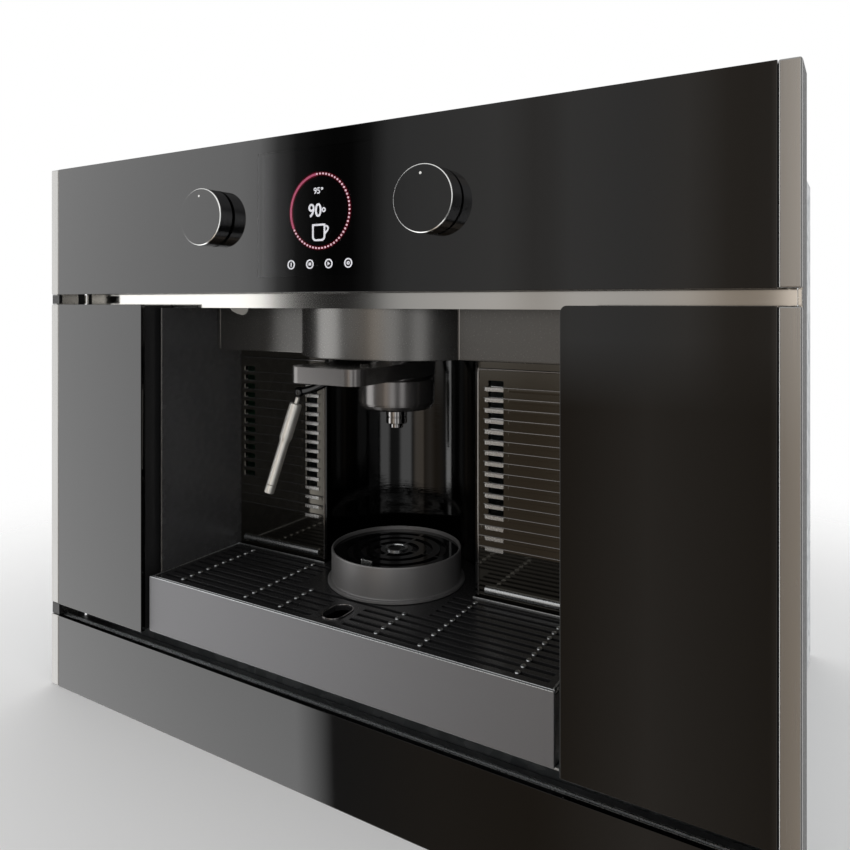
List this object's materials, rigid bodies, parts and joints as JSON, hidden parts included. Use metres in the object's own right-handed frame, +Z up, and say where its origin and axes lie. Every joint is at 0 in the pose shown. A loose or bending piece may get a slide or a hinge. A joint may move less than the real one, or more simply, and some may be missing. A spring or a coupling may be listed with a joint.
{
  "type": "built in coffee machine",
  "caption": "Built in espresso machine with dark glass front, turning knobs, brewing niche, steam wand and drip tray.",
  "frame": {"origin": "middle of the width and of the depth, at the lowest edge of the front, which is level with the undersides of the skids", "axes": "+X to the right as seen by a person in front, +Y from the front into the cabinet, +Z up"},
  "size_m": [0.595, 0.418, 0.455],
  "materials": {
    "galvanised_steel": "plain galvanised sheet",
    "stainless": "fine brushed stainless steel",
    "smoked_glass": "dark coated glass, polished",
    "dark_plastic": "fine grained black moulding",
    "gloss_black": "polished black",
    "dark_enamel": "dark metallic lacquer on steel sheet",
    "display": "black display window",
    "circuit_board": "green solder resist with components",
    "component_metal": "plain metal",
    "knob_metal": "satin dark face with a bright turned edge",
    "anodised_aluminium": "satin anodised",
    "cast_brass_head": "nickel plated brass",
    "boiler_brass": "plain brass",
    "filter_metal": "satin dark metal",
    "polished_steel": "polished steel",
    "tray_metal": "satin grey metal",
    "tank_plastic": "smoked clear plastic"
  },
  "bodies": {
    "machine": {"base_plate": "galvanised_steel", "side_left": "galvanised_steel", "side_right": "galvanised_steel", "top_cover": "galvanised_steel", "rear_cover": "galvanised_steel", "power_inlet": "dark_plastic", "skid_left": "dark_plastic", "skid_right": "dark_plastic", "front_crossbar": "stainless", "front_lower_bar": "galvanised_steel", "front_stile_left": "galvanised_steel", "front_stile_right": "galvanised_steel", "side_trim_left": "stainless", "side_trim_right": "stainless", "fascia_glass": "smoked_glass", "fascia_strip_left": "stainless", "fascia_strip_right": "stainless", "fascia_housing": "dark_plastic", "display_module": "display", "control_board": "circuit_board", "encoder_left": "component_metal", "encoder_right": "component_metal", "left_glass": "smoked_glass", "left_strip": "stainless", "left_backing": "dark_plastic", "lower_glass": "smoked_glass", "lower_strip_left": "stainless", "lower_strip_right": "stainless", "lower_rail": "anodised_aluminium", "lower_backing": "dark_plastic", "niche_wall_left": "dark_enamel", "niche_wall_right": "dark_enamel", "floor_shelf": "galvanised_steel", "louvre_left": "dark_plastic", "louvre_right": "dark_plastic", "recess_wall": "gloss_black", "group_housing": "dark_enamel", "group_head": "cast_brass_head", "boiler": "boiler_brass", "pump": "component_metal", "power_board": "circuit_board"},
    "left_knob": {"knob_left": "knob_metal"},
    "right_knob": {"knob_right": "knob_metal"},
    "filter_holder": {"filter_body": "filter_metal", "filter_handle": "filter_metal", "filter_basket": "polished_steel", "filter_spout": "polished_steel"},
    "wand_arm": {"wand_swivel": "dark_enamel"},
    "wand": {"wand_tube": "polished_steel", "wand_nozzle": "polished_steel"},
    "tray": {"tray_front": "tray_metal", "tray_basin": "dark_plastic"},
    "grille": {"drip_grille": "gloss_black"},
    "stand": {"cup_stand": "gloss_black"},
    "grate": {"cup_grate": "dark_enamel"},
    "tank_drawer": {"right_glass": "smoked_glass", "right_strip": "stainless", "right_backing": "dark_plastic", "water_tank": "tank_plastic"},
    "lid": {"tank_lid": "dark_plastic"}
  },
  "joints": [
    {"name": "left_knob_turn", "type": "hinge", "parent": "machine", "child": "left_knob", "pos_m": [-0.0949, -0.196, 0.4007], "axis": [0, 1, 0], "continuous": true},
    {"name": "right_knob_turn", "type": "hinge", "parent": "machine", "child": "right_knob", "pos_m": [0.0949, -0.196, 0.4007], "axis": [0, 1, 0], "continuous": true},
    {"name": "filter_holder_turn", "type": "hinge", "parent": "machine", "child": "filter_holder", "pos_m": [0, -0.091, 0.288], "axis": [0, 0, 1], "range_deg": [-35, 0]},
    {"name": "wand_swing", "type": "hinge", "parent": "machine", "child": "wand_arm", "pos_m": [-0.0545, -0.103, 0.296], "axis": [0, 0, 1], "range_deg": [-30, 55]},
    {"name": "wand_tilt", "type": "hinge", "parent": "wand_arm", "child": "wand", "pos_m": [-0.0785, -0.1174, 0.264], "axis": [0.7071, -0.7071, 0], "range_deg": [-12, 20]},
    {"name": "tray_slide", "type": "slide", "parent": "machine", "child": "tray", "axis": [0, -1, 0], "range_m": [0, 0.17]},
    {"name": "grille_lift", "type": "slide", "parent": "tray", "child": "grille", "axis": [0, 0, 1], "range_m": [0, 0.045]},
    {"name": "stand_lift", "type": "slide", "parent": "grille", "child": "stand", "axis": [0, 0, 1], "range_m": [0, 0.03]},
    {"name": "grate_lift", "type": "slide", "parent": "stand", "child": "grate", "axis": [0, 0, 1], "range_m": [0, 0.015]},
    {"name": "tank_slide", "type": "slide", "parent": "machine", "child": "tank_drawer", "axis": [0, -1, 0], "range_m": [0, 0.2]},
    {"name": "lid_hinge", "type": "hinge", "parent": "tank_drawer", "child": "lid", "pos_m": [0.225, -0.066, 0.2853], "axis": [-1, 0, 0], "range_deg": [0, 85]}
  ]
}
